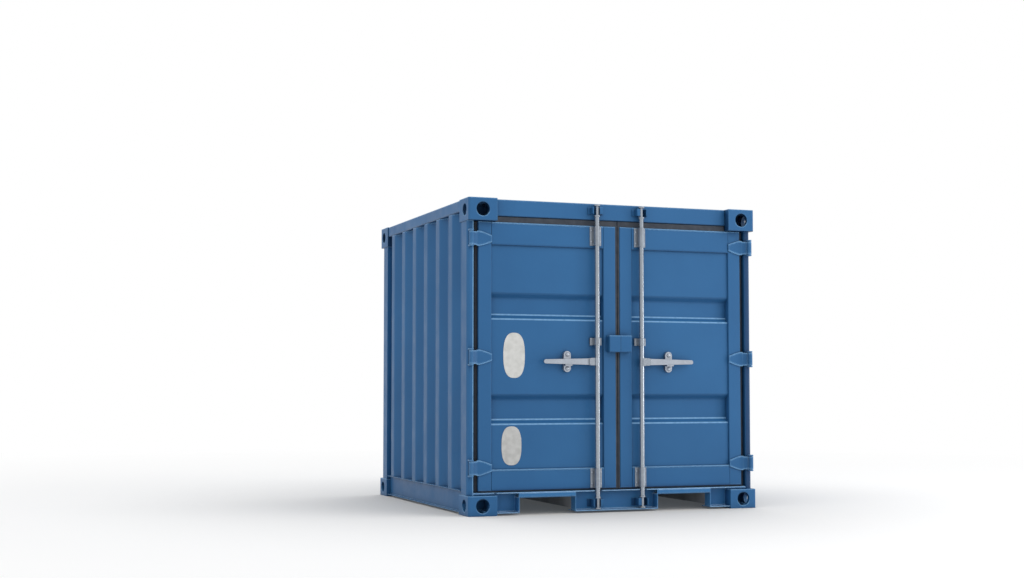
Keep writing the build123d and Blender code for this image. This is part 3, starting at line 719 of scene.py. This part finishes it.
def oval_plate(name, plate, front, body, material):
    """A blank oval plate with a rolled rim."""
    middle_x, middle_z, wide, tall = plate
    mesh = bmesh.new()
    rings = []
    for size, height in PLATE_RIM:
        ring = []
        for i in range(PLATE_SIDES):
            a = 2 * math.pi * i / PLATE_SIDES
            c, s = math.cos(a), math.sin(a)
            x = math.copysign(abs(c) ** (2 / PLATE_POWER), c) * wide / 2 * size
            z = math.copysign(abs(s) ** (2 / PLATE_POWER), s) * tall / 2 * size
            ring.append(mesh.verts.new((middle_x + x, front - height * PLATE_THICK, middle_z + z)))
        rings.append(ring)
    for low, high in zip(rings, rings[1:]):
        for i in range(PLATE_SIDES):
            j = (i + 1) % PLATE_SIDES
            mesh.faces.new((low[i], low[j], high[j], high[i])).smooth = True
    mesh.faces.new(rings[-1])
    return new_piece(name, mesh, body, material)


FORWARD = (0, -1, 0)
UP = (0, 0, 1)


def door_details(side):
    body = side + "_door"
    zinc = finishes["galvanised_steel"]
    bracket_low, bracket_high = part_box(f"{side}_bar_brackets")
    holder_low, holder_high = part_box(f"{side}_handle_holder")
    middle = (bracket_low.x + bracket_high.x) / 2
    foot = (bracket_high.x - bracket_low.x) / 2 - BOLT_INSET
    foot_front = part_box(f"{side}_door_stiles")[0].y - BRACKET_FOOT
    bolts = []
    for row in BOLT_ROWS:
        for z in (bracket_low.z + row, bracket_high.z - row):
            bolts += [(middle - foot, foot_front, z), (middle + foot, foot_front, z)]
    domes(f"{side}_bracket_bolts", bolts, FORWARD, body, zinc)
    x = (holder_low.x + holder_high.x) / 2
    stand_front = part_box(f"{side}_door_panel")[0].y - STUD_STAND
    studs = [(x, stand_front, holder_low.z + STUD_INSET), (x, stand_front, holder_high.z - STUD_INSET)]
    domes(f"{side}_holder_studs", studs, FORWARD, body, zinc, STUD_R, STUD_TALL)


door_details("left")
door_details("right")
panel_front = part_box("left_door_panel")[0].y
oval_plate("upper_oval_plate", UPPER_PLATE, panel_front, "left_door", enamel)
oval_plate("lower_oval_plate", LOWER_PLATE, panel_front, "left_door", alloy)


# Floor screws over the cross members
def floor_screws():
    low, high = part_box("floor_boards")
    first, last = (corner.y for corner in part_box("floor_crossmembers"))
    wide = (high.x - low.x) / BOARDS
    places = []
    for row in range(SCREW_ROWS):
        y = first + SCREW_ROW_IN + (last - first - 2 * SCREW_ROW_IN) * row / (SCREW_ROWS - 1)
        for board in range(BOARDS):
            left = low.x + board * wide
            for x in (left + SCREW_INSET, left + wide / 2, left + wide - SCREW_INSET):
                places.append((x, y, high.z))
    zinc = finishes["galvanised_steel"]
    domes("floor_screws", places, UP, "frame", zinc, SCREW_R, SCREW_TALL)


floor_screws()


# Weld beads across the sides of the posts, at the castings
def frame_welds():
    mesh = bmesh.new()
    heights = (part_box("bottom_corner_castings")[1].z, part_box("top_corner_castings")[0].z)
    for side in ("left", "right"):
        for end in ("door_post", "back_post"):
            low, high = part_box(f"{side}_{end}")
            x = low.x if side == "left" else high.x
            start, stop = low.y, high.y
            if end == "door_post":
                start += BEAD_TRIM
            else:
                stop -= BEAD_TRIM
            for z in heights:
                bead(mesh, (x, start, z), (x, stop, z))
    return new_piece("frame_welds", mesh, "frame", finishes["blue_paint"])


frame_welds()


# End caps over the back castings, from the ends of the back sill to the posts
def plain_box(mesh, low, high):
    """A box from its low corner to its high one."""
    corners = []
    for x in (low[0], high[0]):
        for y in (low[1], high[1]):
            for z in (low[2], high[2]):
                corners.append(mesh.verts.new((x, y, z)))
    for face in ((0, 1, 3, 2), (4, 6, 7, 5), (0, 4, 5, 1), (2, 3, 7, 6), (0, 2, 6, 4), (1, 5, 7, 3)):
        mesh.faces.new([corners[i] for i in face])


def back_sill_end_caps():
    mesh = bmesh.new()
    sill_low, sill_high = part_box("back_sill")
    back = cad_box[1].y - CAP_SETBACK
    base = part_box("bottom_corner_castings")[1].z
    left_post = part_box("left_back_post")[1].x
    right_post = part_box("right_back_post")[0].x
    for x0, x1 in ((left_post, sill_low.x), (sill_high.x, right_post)):
        plain_box(mesh, (x0, back - CAP_DEEP, base), (x1, back, sill_high.z))
    return new_piece("back_sill_end_caps", mesh, "frame", finishes["blue_paint"])


back_sill_end_caps()


# Floor, light and camera
def floor():
    mesh = bpy.data.meshes.new("studio_floor")
    h = FLOOR_HALF
    mesh.from_pydata([(-h, -h, 0), (h, -h, 0), (h, h, 0), (-h, h, 0)], [], [(0, 1, 2, 3)])
    piece = bpy.data.objects.new("studio_floor", mesh)
    bpy.context.scene.collection.objects.link(piece)
    s = Shader("studio_floor")
    # Painted shadow: the floor's colour and glow drop near the container, by ambient occlusion; the faint
    # glow is painted light, also under the container
    near = s.add("ShaderNodeAmbientOcclusion", samples=16)
    near.inputs["Distance"].default_value = SHADE_REACH
    clear = s.spread(near.outputs["AO"], SHADE_DEEP, SHADE_OPEN)
    s.link(s.mix(clear, FLOOR_SHADE, FLOOR_COLOUR), s.surface.inputs["Base Color"])
    s.link(s.spread(clear, 0, 1, GLOW_DEEP, GLOW_OPEN), s.surface.inputs["Emission Strength"])
    s.surface.inputs["Roughness"].default_value = 0.9
    s.surface.inputs["Specular IOR Level"].default_value = 0.1
    s.surface.inputs["Emission Color"].default_value = FLOOR_GLOW
    away = s.add("ShaderNodeVectorMath", operation="LENGTH")
    s.link(s.place, away.inputs[0])
    white = s.add("ShaderNodeEmission")
    fade = s.add("ShaderNodeMixShader")
    s.link(s.spread(away.outputs["Value"], FADE_NEAR, FADE_FAR), fade.inputs["Fac"])
    s.link(s.surface.outputs["BSDF"], fade.inputs[1])
    s.link(white.outputs["Emission"], fade.inputs[2])
    s.link(fade.outputs["Shader"], s.tree.nodes["Material Output"].inputs["Surface"])
    mesh.materials.append(s.material)


def area_light(name, place, size, power):
    data = bpy.data.lights.new(name, "AREA")
    data.shape = "DISK"
    data.size = size
    data.energy = power
    light = bpy.data.objects.new(name, data)
    light.location = place
    light.rotation_euler = (Vector(AIM) - Vector(place)).to_track_quat("-Z", "Y").to_euler()
    light.visible_camera = False
    bpy.context.scene.collection.objects.link(light)


def sky():
    """White to look at; as a light it is a little stronger from the right."""
    world = bpy.data.worlds.new("studio")
    world.use_nodes = True
    tree = world.node_tree
    tree.nodes.clear()
    seen = tree.nodes.new("ShaderNodeLightPath")
    lit = tree.nodes.new("ShaderNodeBackground")
    white = tree.nodes.new("ShaderNodeBackground")
    for background in (lit, white):
        background.inputs["Color"].default_value = (1, 1, 1, 1)
    way = tree.nodes.new("ShaderNodeTexCoord")
    axes = tree.nodes.new("ShaderNodeSeparateXYZ")
    slope = tree.nodes.new("ShaderNodeMapRange")
    slope.inputs["From Min"].default_value = -1
    slope.inputs["To Min"].default_value = SKY_LEFT
    slope.inputs["To Max"].default_value = SKY_RIGHT
    mix = tree.nodes.new("ShaderNodeMixShader")
    out = tree.nodes.new("ShaderNodeOutputWorld")
    tree.links.new(way.outputs["Generated"], axes.inputs["Vector"])
    tree.links.new(axes.outputs["X"], slope.inputs["Value"])
    tree.links.new(slope.outputs["Result"], lit.inputs["Strength"])
    tree.links.new(seen.outputs["Is Camera Ray"], mix.inputs["Fac"])
    tree.links.new(lit.outputs["Background"], mix.inputs[1])
    tree.links.new(white.outputs["Background"], mix.inputs[2])
    tree.links.new(mix.outputs["Shader"], out.inputs["Surface"])
    bpy.context.scene.world = world


def camera():
    data = bpy.data.cameras.new("camera")
    data.lens = CAMERA_LENS
    data.shift_y = CAMERA_RISE
    view = bpy.data.objects.new("camera", data)
    view.location = CAMERA_PLACE
    view.rotation_euler = (math.radians(90 + CAMERA_TILT), 0, math.radians(-CAMERA_TURN))
    bpy.context.scene.collection.objects.link(view)
    bpy.context.scene.camera = view


floor()
area_light("key", KEY_PLACE, KEY_SIZE, KEY_POWER)
area_light("side", SIDE_PLACE, SIDE_SIZE, SIDE_POWER)
sky()
camera()
bpy.context.scene.view_settings.view_transform = "Standard"
